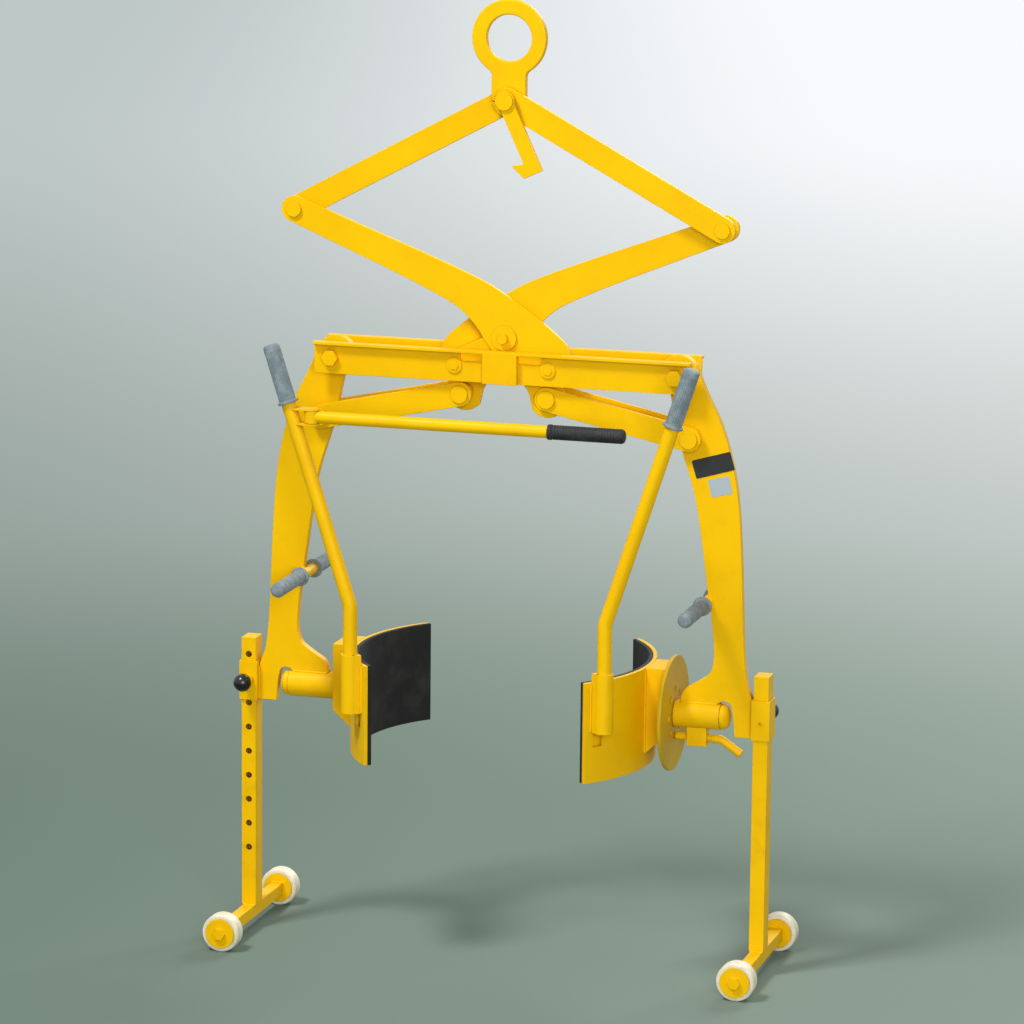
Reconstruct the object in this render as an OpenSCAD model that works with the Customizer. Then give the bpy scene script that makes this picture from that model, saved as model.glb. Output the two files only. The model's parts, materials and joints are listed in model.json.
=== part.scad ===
// Scissor drum lifter: a lifting eye pulls a scissor linkage that swings two side arms
// inwards, so that two curved shoes grip the drum and let it be tilted about its middle.
// The frame is +X along the crossbeam, +Y to the rear, +Z up, origin at the eye's centre.

/* [Lifting eye] */
// Outside diameter of the eye ring
eye_od = 150; // [130:1:170]
// Bore of the eye ring
eye_bore = 90; // [70:1:100]
// Width of the stem below the ring
stem_w = 70; // [60:1:80]
// Drop from the eye's centre to the eye pin
eye_drop = 119; // [112:1:140]
// Radius of the fillets between ring and stem
eye_fillet = 15; // [8:1:20]
// Thickness of the plates in the middle plane: eye, hanger and side arms
mid_t = 18; // [14:1:22]

/* [Links and scissor arms] */
// Pin distance of an upper link, and of a scissor arm from its outer pin to the pivot
link_len = 491; // [470:1:510]
// Slope of the upper links at rest
link_angle = 28.2; // [26:0.1:30]
// Width of an upper link
link_w = 50; // [44:1:56]
// Thickness of the upper links and scissor arms
link_t = 10; // [8:1:12]
// Radius of a scissor arm's outer end
arm_end_r = 26; // [24:1:32]
// Height of a scissor arm's crest above the line through its pins
arm_crest = 78; // [70:1:84]
// Length of a scissor arm's tail from the pivot to its pin
tail_len = 145; // [138:1:150]
// Bend of the tail below the line through the arm's pins
tail_bend = 24.4; // [22:0.1:27]
// Radius of the tail's end
tail_end_r = 38; // [34:1:42]
// Diameter of the link pins
pin_d = 22; // [18:1:26]
// Diameter of the centre pivot bolt
pivot_d = 28; // [24:1:32]
// Diameter of the centre pivot's head
pivot_head_d = 50; // [44:1:56]

/* [Latch hook] */
// Width of the latch hook's shank
hook_w = 30; // [26:1:36]
// Thickness of the latch hook
hook_t = 10; // [8:1:12]
// Reach of the hook from its pin to the top of its toe
hook_reach = 126; // [122:1:130]
// Depth of the hook's toe
toe_depth = 26; // [20:1:32]
// Length of the toe beyond the shank
toe_len = 24; // [20:1:26]
// Lean of the hook at rest
hook_lean = 25; // [24:1:28]

/* [Crossbeam] */
// Half the length of the crossbeam
beam_half = 383; // [376:1:400]
// Drop from the centre pivot to the top of the crossbeam
beam_drop = 23; // [18:1:30]
// Height of the beam angles
beam_h = 64; // [60:1:70]
// Thickness of the beam angles
beam_t = 6; // [5:1:8]
// Width of the flange outside the upright leg
flange_w = 12; // [10:1:20]
// Half the width of the boxed-in middle of the beam
gusset_half = 35; // [30:1:36]
// Length of the slots beside the boxed-in middle
beam_slot_len = 48; // [40:1:48]
// Height of the slots beside the boxed-in middle
beam_slot_h = 18; // [12:1:20]
// Distance of the tie bolts from the middle
tie_x = 95; // [90:1:96]
// Distance of the side arm pivots from the middle
arm_pivot_x = 349; // [345:1:353]
// Diameter of the side arm pivot bolts
arm_bolt_d = 20; // [16:1:24]
// Radius of the hanger plate round the centre pivot
hanger_r = 40; // [34:1:46]

/* [Lower links] */
// Width of a lower link
low_w = 48; // [42:1:52]
// Thickness of a lower link's bars
low_t = 8; // [6:1:10]
// Distance of the outer pins from the middle
low_pin_x = 375; // [372:1:378]
// Drop from the centre pivot to the outer pins
low_pin_drop = 177; // [174:1:180]
// Diameter of the tail bores round the lower links' inner pins, which float in them
tail_bore_d = 26; // [25.6:0.1:28]

/* [Side arms] */
// Drop from the centre pivot to the trunnion axis
axis_drop = 727; // [715:1:740]
// Outside diameter of a bearing housing
housing_d = 54; // [50:1:60]
// Length of a bearing housing
housing_len = 93; // [86:1:98]
// Wall of the bronze bush in a housing
bush_t = 3; // [2:0.5:4]
// Inner face of the leg sleeves from the middle
sleeve_x = 509; // [504:1:516]
// Height of a leg sleeve
sleeve_h = 80; // [70:1:90]
// Rise of a sleeve's top above the trunnion axis
sleeve_rise = 42; // [36:1:48]
// Wall of a leg sleeve
sleeve_wall = 3.5; // [3:0.5:5]

/* [Handlebars] */
// Diameter of the handlebar rods
bar_d = 22; // [18:1:25]
// Half the length of a handlebar
bar_half = 178; // [160:1:195]
// Rise of the handlebars above the trunnion axis
bar_rise = 227; // [222:1:232]
// Distance of the handlebars from the middle
bar_x = 412; // [409:1:415]
// Outside diameter of the handlebar grips
bar_grip_d = 29; // [27:1:34]
// Length of the handlebar grips
bar_grip_len = 138; // [110:1:150]
// Diameter of the flange at the inner end of a handlebar grip
bar_flange_d = 38; // [36:1:44]

/* [Shoes] */
// Radius of the drum that the pads grip
drum_r = 287; // [282:1:290]
// Thickness of the rubber pads
pad_t = 8; // [6:1:10]
// Thickness of the shoe plates
shoe_t = 8; // [6:1:10]
// Half the angle that a shoe spans
shoe_half_angle = 42.5; // [40.5:0.5:45]
// Height of a shoe above the trunnion axis
shoe_up = 95; // [85:1:105]
// Height of a shoe below the trunnion axis
shoe_down = 105; // [95:1:115]
// Diameter of the trunnion shafts
shaft_d = 40; // [34:1:42]
// Half the width of the box bracket behind a shoe
bracket_half = 42; // [38:1:50]
// Drop of the bracket's underside at its end plate below the trunnion axis
bracket_drop = 40; // [36:1:46]
// Drop of the bracket's underside at the shoe below the trunnion axis
bracket_foot = 75; // [66:1:84]
// Thickness of the bracket's plates
bracket_t = 8; // [6:1:10]
// Distance of the bracket's end plate from the drum's middle
bracket_x = 335; // [331:1:339]

/* [Index disc and plunger] */
// Radius of the index disc
disc_r = 114; // [100:1:120]
// Thickness of the index disc
disc_t = 8; // [6:1:10]
// Radius of the circle of index holes
index_r = 46; // [45:1:50]
// Number of index holes
index_holes = 8; // [4:1:12]
// Diameter of the index plunger
index_d = 14; // [12:1:16]
// Length of the index plunger's guide block
guide_len = 40; // [34:1:46]

/* [Levers and tilt bar] */
// Diameter of the lever tubes
lever_d = 28; // [25:1:30]
// Distance of the levers in front of the middle plane
lever_y = 190; // [180:1:196]
// Rise of the lever's bend above the trunnion axis
lever_bend_rise = 210; // [190:1:230]
// Rise of the lower end of the lever's grip above the trunnion axis
lever_top_rise = 604; // [603:1:612]
// Distance of the lower end of the lever's grip from the middle
lever_top_x = 385; // [375:1:390]
// Outside diameter of the lever grips
lever_grip_d = 33; // [32:1:38]
// Length of the lever grips
lever_grip_len = 115; // [100:1:130]
// Diameter of the flange at the foot of a lever grip
lever_flange_d = 45; // [42:1:48]
// Height of the sockets that hold the levers on the shoes
socket_h = 118; // [90:1:130]
// Outside diameter of the lever sockets
socket_d = 36; // [34:1:42]
// Width of a socket's foot on the shoe
socket_foot_w = 42; // [40:1:48]
// Diameter of the tilt bar
tilt_d = 24; // [20:1:26]
// Rise of the tilt bar above the trunnion axis
tilt_rise = 580; // [572:1:581]
// Distance of the tilt bar's hinge from the middle
tilt_hinge_x = 337; // [333:1:341]
// Length of the tilt bar from its hinge
tilt_len = 625; // [600:1:640]
// Outside diameter of the tilt bar's grip
tilt_grip_d = 30; // [28:1:34]
// Length of the tilt bar's grip
tilt_grip_len = 148; // [120:1:170]

/* [Legs and rollers] */
// Width of a leg along the crossbeam
leg_w = 30; // [26:1:34]
// Depth of a leg from front to rear
leg_d = 40; // [36:1:46]
// Wall of the leg tubes
leg_wall = 3; // [2:0.5:4]
// Length of a leg
leg_len = 556; // [520:1:600]
// Rise of a leg's top above the trunnion axis
leg_rise = 90; // [84:1:100]
// Diameter of the height holes
leg_hole_d = 12; // [11.5:0.5:14]
// Pitch of the height holes
leg_pitch = 50; // [46:1:52]
// Number of height holes
leg_holes = 9; // [5:1:9]
// Drop of the height plungers from a sleeve's top
plunger_drop = 37; // [30:1:44]
// Diameter of the height plungers
plunger_d = 10; // [8:0.5:10]
// Diameter of the plunger knobs
knob_d = 36; // [32:1:40]
// Size of the square foot bars
foot_s = 25; // [22:1:30]
// Distance of the rollers' middles from the middle plane
roller_y = 176; // [165:1:190]
// Diameter of the rollers
roller_d = 76; // [70:1:82]
// Width of the rollers
roller_w = 32; // [28:1:36]
// Diameter of the discs beside the rollers
roller_disc_d = 60; // [50:1:64]
// Diameter of the roller axles
axle_d = 16; // [14:1:20]

/* [Fits] */
// Radial clearance of pins and shafts that turn in their bores
run_fit = 0.05; // [0.02:0.01:0.1]
// Gap between plates that slide past each other
slide_gap = 0.5; // [0.3:0.1:0.8]
// Thickness of pin and bolt heads
head_t = 5; // [4:1:6]
// Room between the lower links' pin heads and the beam
beam_clear = 3; // [2.5:0.5:4]

/* [Hidden] */
$fn = 96;
paint = [0.98, 0.76, 0.02];
steel = [0.62, 0.63, 0.64];
grip_grey = [0.42, 0.47, 0.5];
black = [0.05, 0.05, 0.05];
bronze = [0.66, 0.48, 0.22];
nylon = [0.9, 0.86, 0.74];

// Layers from the middle plane outwards
mid_y = mid_t / 2;
arm_in = mid_y + slide_gap;
arm_out = arm_in + link_t;
low_in = arm_out + slide_gap;
low_out = low_in + low_t;
beam_in = low_out + head_t + beam_clear;
beam_out = beam_in + beam_t;
flange_out = beam_out + flange_w;
hook_in = arm_out + head_t + 2 * slide_gap;
hook_out = hook_in + hook_t;

// Pin places, as [x, z]
eye_pin_at = [0, -eye_drop];
joint_at = [link_len * cos(link_angle), -eye_drop - link_len * sin(link_angle)];
pivot_at = [0, -eye_drop - 2 * link_len * sin(link_angle)];
tail_slope = link_angle + tail_bend;
tail_at = pivot_at + tail_len * [cos(tail_slope), -sin(tail_slope)];
beam_top = pivot_at[1] - beam_drop;
beam_mid = beam_top - beam_h / 2;
arm_pivot_at = [arm_pivot_x, beam_mid];
low_pin_at = [low_pin_x, pivot_at[1] - low_pin_drop];
axis_z = pivot_at[1] - axis_drop;

// Shoe radii, and the row of pieces along the trunnion axis
plate_in = drum_r + pad_t;
plate_out = plate_in + shoe_t;
bracket_out = bracket_x + bracket_t;
disc_out = bracket_out + disc_t;
housing_in = disc_out + slide_gap;
housing_out = housing_in + housing_len;
nut_t = 12;
tie_d = 12;
nut_r = shaft_d / 2 + 5;
bush_r = shaft_d / 2 + run_fit + bush_t;

// Legs, sleeves and rollers
sleeve_top = axis_z + sleeve_rise;
sleeve_fit = 0.3;
leg_x = sleeve_x + sleeve_wall + sleeve_fit + leg_w / 2;
leg_top = axis_z + leg_rise;
leg_foot = leg_top - leg_len;
foot_z = leg_foot - foot_s / 2;
plunger_z = sleeve_top - plunger_drop;
sleeve_half_d = leg_d / 2 + sleeve_fit + sleeve_wall;
boss_len = 10;
plunger_travel = 9;
boss_d = plunger_d + 14;
plunger_tip = leg_d / 2 + sleeve_fit + slide_gap;
knob_gap = 3;
roller_disc_t = 3.5;
axle_head_t = 7;
axle_head_d = 26;

// Levers stand against the shoe plates' outer faces
lever_stand = 3;
lever_r = plate_out + lever_stand + lever_d / 2;
lever_x = sqrt(lever_r * lever_r - lever_y * lever_y);
lever_bend_r = 60;
lever_slope = [lever_top_x - lever_x, lever_top_rise - lever_bend_rise];
lever_dir = lever_slope / norm(lever_slope);
lever_grip_at = [lever_top_x, axis_z + lever_top_rise];
lever_end_at = lever_grip_at + lever_grip_len * lever_dir;
lever_bend_at = [lever_x, axis_z + lever_bend_rise];
lever_path = [[lever_x, axis_z], lever_bend_at, lever_end_at];
grip_end_t = 4;
grip_flange_t = 5;
tilt_z = axis_z + tilt_rise;
tilt_eye_d = tilt_d + 6;
tilt_pin_d = 10;
tilt_ear_t = 4;
tilt_root = lever_x + lever_slope[0] / lever_slope[1] * (tilt_rise - lever_bend_rise);
tilt_reach = tilt_len + grip_end_t - tilt_hinge_x;
// A bar that is long enough to meet the other lever passes in front of it
tilt_y = lever_y + (tilt_reach > tilt_root - lever_d ? lever_d / 2 + tilt_grip_d / 2 + slide_gap : 0);

// Index plunger parked just clear of the disc, with its guide under the right housing
index_z = axis_z - index_r;
guide_w = index_d + 16;
guide_x = housing_in + (housing_len - guide_len) / 2;
index_tip = disc_out + slide_gap;
index_handle_d = index_d - 1;
index_handle = [[guide_x + guide_len + 4, index_z], [guide_x + guide_len + 26, index_z],
    [guide_x + guide_len + 68, index_z - 28]];

// Corner cutting that rounds an open outline and keeps its two ends
function cut_corners(p) = concat([p[0]],
    [for (i = [0 : len(p) - 2], t = [0.25, 0.75]) p[i] * (1 - t) + p[i + 1] * t], [p[len(p) - 1]]);
function rounded(p) = cut_corners(cut_corners(p));
function unit(v) = v / norm(v);
function heading(v) = atan2(v[1], v[0]);

// Moves a flat shape drawn as [x, z] to a plate between two depths along Y
module plate(from_y, to_y) {
    translate([0, to_y, 0]) rotate([90, 0, 0]) linear_extrude(to_y - from_y) children();
}

// Cylinder along Y at [x, z]
module pin_y(at, from_y, to_y, d, sides = $fn) {
    translate([at[0], from_y, at[1]]) rotate([-90, 0, 0])
        cylinder(d = d, h = to_y - from_y, $fn = sides);
}

// Cylinder along X on the trunnion axis
module rod_x(from_x, to_x, d, z = axis_z) {
    translate([from_x, 0, z]) rotate([0, 90, 0]) cylinder(d = d, h = to_x - from_x);
}

// Left pieces are the right ones mirrored, or turned half round where the layers cross
module mirrored() mirror([1, 0, 0]) children();
module turned() rotate([0, 0, 180]) children();

// Flat bar with round ends
module bar_2d(a, b, w) {
    translate(a) rotate(heading(b - a)) translate([0, -w / 2]) square([norm(b - a), w]);
    for (p = [a, b]) translate(p) circle(d = w);
}

// Points of an arc, from one angle to another
function arc(at, r, from, to, steps = 16) =
    [for (k = [0 : steps]) let (a = from + (to - from) * k / steps) at + r * [cos(a), sin(a)]];

// Points along a route with each corner replaced by an arc of one radius
function bend_points(p, i, bend_r) = i == 0 || i == len(p) - 1 ? [p[i]] : let (
    before = unit(p[i] - p[i - 1]),
    after = unit(p[i + 1] - p[i]),
    turn = asin(before[0] * after[1] - before[1] * after[0]),
    from = p[i] - before * bend_r * tan(abs(turn) / 2),
    middle = from + sign(turn) * bend_r * [-before[1], before[0]],
    start = heading(from - middle)
) arc(middle, bend_r, start, start + turn, 6);

// Bent round rod, swept along a route in the plane of [x, z]
module bent_rod(p, d, bend_r, sides = 24) {
    route = [for (i = [0 : len(p) - 1]) each bend_points(p, i, bend_r)];
    last = len(route) - 1;
    rings = [for (k = [0 : last]) let (
        along = unit(route[min(k + 1, last)] - route[max(k - 1, 0)]),
        across = [-along[1], along[0]]
    ) for (i = [0 : sides - 1]) let (a = 360 * i / sides, at = route[k] + across * d / 2 * cos(a))
        [at[0], at[1], d / 2 * sin(a)]];
    walls = [for (k = [0 : last - 1], i = [0 : sides - 1]) let (j = (i + 1) % sides, n = k * sides)
        [n + i, n + sides + i, n + sides + j, n + j]];
    caps = [[for (i = [0 : sides - 1]) i], [for (i = [sides - 1 : -1 : 0]) last * sides + i]];
    rotate([90, 0, 0]) polyhedron(rings, concat(walls, caps));
}

// Straight round rod between two points in the plane of [x, z]
module straight_rod(from, to, d) {
    rotate([90, 0, 0]) translate(from) rotate([0, 90, heading(to - from)])
        cylinder(d = d, h = norm(to - from));
}

// Eye, its pin and the latch hook
module lifting_eye() {
    reach = eye_od / 2 + eye_fillet;
    fillet_x = stem_w / 2 + eye_fillet;
    fillet_z = -sqrt(reach * reach - fillet_x * fillet_x);
    touch = [fillet_x, fillet_z] * eye_od / 2 / reach;
    color(paint) plate(-mid_y, mid_y) difference() {
        union() {
            circle(d = eye_od);
            bar_2d([0, 0], eye_pin_at, stem_w);
            difference() {
                polygon([[-fillet_x, fillet_z], [fillet_x, fillet_z], touch, [-touch[0], touch[1]]]);
                for (s = [-1, 1]) translate([s * fillet_x, fillet_z]) circle(r = eye_fillet);
            }
        }
        circle(d = eye_bore);
        translate(eye_pin_at) circle(d = pin_d);
    }
}

module eye_pin() {
    face = arm_out + slide_gap;
    front = hook_out + slide_gap;
    color(steel) {
        pin_y(eye_pin_at, -front, face, pin_d);
        pin_y(eye_pin_at, -front - head_t, -front, pin_d * 1.6);
        pin_y(eye_pin_at, -face - head_t, -face, pin_d * 1.6);
        pin_y(eye_pin_at, face, face + 2 * head_t, pin_d * 1.6, 6);
    }
}

module latch_hook() {
    half = hook_w / 2;
    heel = hook_reach + toe_depth;
    color(paint) plate(-hook_out, -hook_in)
        translate(eye_pin_at) rotate(hook_lean) difference() {
            union() {
                circle(d = hook_w * 1.3);
                polygon([[-half, 0], [-half, -hook_reach], [-half - toe_len, -hook_reach + toe_depth / 4],
                    [-half - toe_len + toe_depth / 2, -heel], [half, -heel], [half, 0]]);
            }
            circle(r = pin_d / 2 + run_fit);
        }
}

// Upper links with the outer pins fixed in them
module upper_link_right() {
    ends = [eye_pin_at, joint_at];
    color(paint) plate(-arm_out, -arm_in) difference() {
        bar_2d(ends[0], ends[1], link_w);
        translate(ends[0]) circle(r = pin_d / 2 + run_fit);
        translate(ends[1]) circle(d = pin_d);
    }
}

module outer_pin_right() {
    color(steel) {
        pin_y(joint_at, -arm_out, arm_out + slide_gap, pin_d);
        pin_y(joint_at, -arm_out - head_t, -arm_out, pin_d * 1.4);
        pin_y(joint_at, -arm_in, mid_y, pin_d * 1.6);
        pin_y(joint_at, arm_out + slide_gap, arm_out + slide_gap + head_t, pin_d * 1.4);
    }
}

// Bent scissor arm in front, from the left outer pin through the pivot to the right tail pin.
// The outline runs along the line through its pins, with the height above that line.
module scissor_arm_left() {
    tail = [link_len, 0] + tail_len * [cos(tail_bend), -sin(tail_bend)];
    tail_end = arc(tail, tail_end_r, 90 - tail_bend, -90 - tail_bend);
    top = [[0, arm_end_r], [66, arm_end_r + 8], [link_len - 104, arm_crest],
        [link_len - 20, arm_crest - 3], [link_len + 60, arm_crest - 12],
        [link_len + 140, arm_crest - 30], tail_end[0]];
    under = [tail_end[16], [link_len + 87, -60], [link_len - 6, -pivot_head_d * 0.8], [link_len - 76, 0],
        [link_len - 151, 8], [0, -arm_end_r]];
    color(paint) plate(-arm_out, -arm_in)
        translate([-joint_at[0], joint_at[1]]) rotate(-link_angle) difference() {
            polygon(concat(rounded(top), tail_end, rounded(under), arc([0, 0], arm_end_r, 270, 90)));
            circle(r = pin_d / 2 + run_fit);
            translate([link_len, 0]) circle(r = pivot_d / 2 + run_fit);
            translate(tail) circle(d = tail_bore_d);
        }
}

// Front beam angle, boxed in at the middle
module beam_angle_front() {
    bores = [for (s = [-1, 1]) [s * tie_x, beam_mid]];
    color(paint) difference() {
        union() {
            translate([-beam_half, -beam_out, beam_top - beam_h]) cube([2 * beam_half, beam_t, beam_h]);
            translate([-beam_half, -flange_out, beam_top - beam_t])
                cube([2 * beam_half, flange_w, beam_t]);
            translate([-gusset_half, -flange_out, beam_top - beam_h])
                cube([2 * gusset_half, flange_w, beam_h]);
        }
        translate([beam_t - gusset_half, beam_t - flange_out, beam_top - beam_h - 1])
            cube([2 * (gusset_half - beam_t), flange_w - beam_t, beam_h - beam_t + 1]);
        for (x = [gusset_half, -gusset_half - beam_slot_len])
            translate([x, -beam_out - 1, beam_top - beam_t - beam_slot_h])
                cube([beam_slot_len, beam_t + 2, beam_slot_h]);
        for (at = bores) pin_y(at, -beam_out - 1, -beam_in + 1, tie_d);
        for (s = [-1, 1]) pin_y([s * arm_pivot_x, beam_mid], -beam_out - 1, -beam_in + 1, arm_bolt_d);
    }
}

// Plate in the middle plane that carries the centre pivot, with ends that are round about it,
// because the tail pins swing past them
module hanger_plate() {
    foot = tie_x + tie_d * 1.6;
    rise = tie_d * 1.6;
    reach = tail_len - pin_d * 0.8 - 3;
    color(paint) plate(-mid_y, mid_y) difference() {
        union() {
            translate(pivot_at) circle(r = hanger_r);
            intersection() {
                polygon([[-foot, beam_top - beam_h], [foot, beam_top - beam_h], [foot, beam_mid + rise],
                    [hanger_r, pivot_at[1]], [-hanger_r, pivot_at[1]], [-foot, beam_mid + rise]]);
                translate(pivot_at) circle(r = reach);
            }
        }
        translate(pivot_at) circle(d = pivot_d);
        for (s = [-1, 1]) translate([s * tie_x, beam_mid]) circle(d = tie_d);
    }
}

// Pivot bolt with a stub in front for the latch hook
module centre_pivot_bolt() {
    face = arm_out + slide_gap;
    stub = hook_out + 2;
    color(paint) {
        pin_y(pivot_at, -face, face, pivot_d);
        pin_y(pivot_at, -face - head_t, -face, pivot_head_d);
        pin_y(pivot_at, -stub, -face - head_t, pivot_d * 0.7);
        pin_y(pivot_at, face, face + 2 * head_t, pivot_d * 1.5, 6);
    }
}

// Tie bolts: one at the front left and one at the rear right reach the hanger through a
// spacer, and the other two end in a nut inside the beam, clear of the scissor arms
module tie_bolt(at, long) {
    nut_in = beam_in - head_t;
    pin_y(at, -beam_out - head_t, -beam_out, tie_d * 1.7, 6);
    pin_y(at, -beam_out, long ? mid_y : -nut_in, tie_d);
    if (long) pin_y(at, -beam_in, -mid_y, tie_d * 1.5);
    else pin_y(at, -beam_in, -nut_in, tie_d * 1.6, 6);
}

module tie_bolts() {
    color(steel) {
        tie_bolt([-tie_x, beam_mid], true);
        tie_bolt([tie_x, beam_mid], false);
        turned() tie_bolt([-tie_x, beam_mid], true);
        turned() tie_bolt([tie_x, beam_mid], false);
    }
}

module arm_pivot_bolts() {
    color(steel) for (s = [-1, 1]) {
        at = [s * arm_pivot_x, beam_mid];
        pin_y(at, -beam_out, beam_out, arm_bolt_d);
        for (y = [-beam_out - 2 * head_t, beam_out]) pin_y(at, y, y + 2 * head_t, arm_bolt_d * 1.7, 6);
    }
}

module arm_pivot_spacers() {
    seat = mid_y + slide_gap;
    color(steel) for (s = [-1, 1], y = [-beam_in, seat]) difference() {
        pin_y([s * arm_pivot_x, beam_mid], y, y + beam_in - seat, arm_bolt_d + 14);
        pin_y([s * arm_pivot_x, beam_mid], y - 1, y + beam_in - seat + 1, arm_bolt_d);
    }
}

// Side arm plate: a curved arm that forks into the housing seat and the sleeve seat
module side_arm_right() {
    sleeve = [sleeve_x, sleeve_top];
    seat = [housing_in, axis_z];
    foot_z = sleeve_top - sleeve_h;
    crown = arc(arm_pivot_at, 40, 245, 25);
    outer = [crown[16], arm_pivot_at + [56, -32], arm_pivot_at + [91, -97],
        arm_pivot_at + [121, -208], sleeve + [-28, 283], sleeve + [-19, 40], sleeve + [0, -7]];
    inner = [seat + [12, 0], seat + [12, 48], seat + [44, 66], seat + [80, 92], seat + [74, 180],
        seat + [60, 265], seat + [50, 340], arm_pivot_at + [37, -232],
        arm_pivot_at + [5, -140], crown[0]];
    notch = [[sleeve_x - 36, foot_z], [housing_out + 24, axis_z + 14], [housing_out + 18, axis_z + 32],
        [housing_out - 6, axis_z + 32], [housing_out - 6, axis_z]];
    color(paint) plate_cut() plate(-mid_y, mid_y) difference() {
        polygon(concat(rounded(outer), [[sleeve_x, foot_z]], rounded(notch), rounded(inner), crown));
        translate(arm_pivot_at) circle(r = arm_bolt_d / 2 + run_fit);
        translate(low_pin_at) circle(r = pin_d / 2 + run_fit);
    }
}

// Takes the housing and the handlebar out of a side arm plate, so that they nest in it
module plate_cut() {
    difference() {
        children();
        rod_x(housing_in - 1, housing_out + slide_gap, housing_d);
        pin_y([bar_x, axis_z + bar_rise], -mid_y - 1, mid_y + 1, bar_d);
    }
}

module bearing_housing_right() {
    color(paint) difference() {
        rod_x(housing_in, housing_out, housing_d);
        rod_x(housing_in - 1, housing_out + 1, 2 * bush_r);
    }
}

module trunnion_bush_right() {
    color(bronze) difference() {
        rod_x(housing_in, housing_out, 2 * bush_r);
        rod_x(housing_in - 1, housing_out + 1, shaft_d + 2 * run_fit);
    }
}

// Sleeve for the leg with a guide boss for the height plunger on its rear face
module leg_sleeve_right() {
    out = leg_w + 2 * (sleeve_fit + sleeve_wall);
    color(paint) difference() {
        union() {
            translate([sleeve_x, -sleeve_half_d, sleeve_top - sleeve_h])
                cube([out, 2 * sleeve_half_d, sleeve_h]);
            pin_y([leg_x, plunger_z], sleeve_half_d - 1, sleeve_half_d + boss_len, boss_d);
        }
        translate([sleeve_x + sleeve_wall, sleeve_wall - sleeve_half_d, sleeve_top - sleeve_h - 1])
            cube([leg_w + 2 * sleeve_fit, leg_d + 2 * sleeve_fit, sleeve_h + 2]);
        pin_y([leg_x, plunger_z], 0, sleeve_half_d + boss_len + 1, plunger_d + 2 * run_fit);
    }
}

module handlebar_right() {
    color(paint) pin_y([bar_x, axis_z + bar_rise], -bar_half, bar_half, bar_d);
}

module handlebar_grips_right() {
    at = [bar_x, axis_z + bar_rise];
    color(grip_grey) for (a = [0, 1]) mirror([0, a, 0]) difference() {
        union() {
            pin_y(at, bar_half - bar_grip_len, bar_half + grip_end_t, bar_grip_d);
            pin_y(at, bar_half - bar_grip_len, bar_half - bar_grip_len + grip_flange_t, bar_flange_d);
        }
        pin_y(at, bar_half - bar_grip_len - 1, bar_half, bar_d);
    }
}

// Guide block for the index plunger, hung under the right housing
module index_guide() {
    color(paint) difference() {
        translate([guide_x, -guide_w / 2, index_z - guide_w / 2])
            cube([guide_len, guide_w, index_r]);
        rod_x(guide_x - 1, guide_x + guide_len + 1, housing_d);
        rod_x(guide_x - 1, guide_x + guide_len + 1, index_d + 2 * run_fit, index_z);
    }
}

// Index plunger with its bent pull handle
module index_plunger() {
    color(paint) rod_x(index_tip, index_handle[0][0] + 4, index_d, index_z);
    color(paint) bent_rod(index_handle, index_handle_d, 18);
}

// Lower link: twin bars with both pins fixed in them
module lower_link_right() {
    color(paint) for (y = [-low_out, low_in]) plate(y, y + low_t) difference() {
        bar_2d(tail_at, low_pin_at, low_w);
        for (at = [tail_at, low_pin_at]) translate(at) circle(d = pin_d);
    }
}

module lower_link_pins_right() {
    color(steel) for (at = [tail_at, low_pin_at]) {
        pin_y(at, -low_out, low_out, pin_d);
        for (y = [-low_out - head_t, low_out]) pin_y(at, y, y + head_t, pin_d * 1.6);
    }
    color(steel) for (y = [-low_in, mid_y + slide_gap])
        pin_y(low_pin_at, y, y + low_in - mid_y - slide_gap, pin_d * 1.6);
    color(steel) pin_y(tail_at, -arm_in + slide_gap, low_in, pin_d * 1.6);
}

// Shoe: a rolled plate with a rubber pad, on a box bracket with its trunnion shaft
module shoe_plate_right() {
    slot_w = 22;
    slot_h = 26;
    color(paint) difference() {
        translate([0, 0, axis_z - shoe_down]) rotate(-shoe_half_angle)
            rotate_extrude(angle = 2 * shoe_half_angle)
                translate([plate_in, 0]) square([shoe_t, shoe_up + shoe_down]);
        rotate(-atan2(lever_y, lever_x)) translate([plate_in - 1, -slot_w / 2, axis_z - slot_h - 8])
            cube([shoe_t + 2, slot_w, slot_h]);
    }
}

module shoe_pad_right() {
    color(black) translate([0, 0, axis_z - shoe_down]) rotate(-shoe_half_angle)
        rotate_extrude(angle = 2 * shoe_half_angle)
            translate([drum_r, 0]) square([pad_t, shoe_up + shoe_down]);
}

// Side of the box bracket: flush with the shoe's top, with an underside that rises to the end plate
module bracket_2d() {
    fall = (bracket_foot - bracket_drop) / (bracket_out - plate_out);
    back = plate_in - 2 * bracket_t;
    polygon([[back, axis_z + shoe_up], [bracket_out, axis_z + shoe_up], [bracket_out, axis_z - bracket_drop],
        [back, axis_z - bracket_drop - fall * (bracket_out - back)]]);
}

module trunnion_right() {
    inside = bracket_half - bracket_t;
    color(paint) difference() {
        union() {
            rod_x(bracket_x, housing_out + slide_gap + nut_t, shaft_d);
            difference() {
                plate(-bracket_half, bracket_half) bracket_2d();
                plate(-inside, inside) offset(delta = -bracket_t) bracket_2d();
            }
        }
        translate([0, 0, axis_z - 2 * shoe_down]) cylinder(r = plate_out, h = 4 * shoe_down);
    }
}

// Thrust ring on the left trunnion, where the right one has its disc
module trunnion_left() {
    mirrored() trunnion_right();
    color(paint) mirrored() rod_x(bracket_out, disc_out, shaft_d + 24);
}

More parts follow.
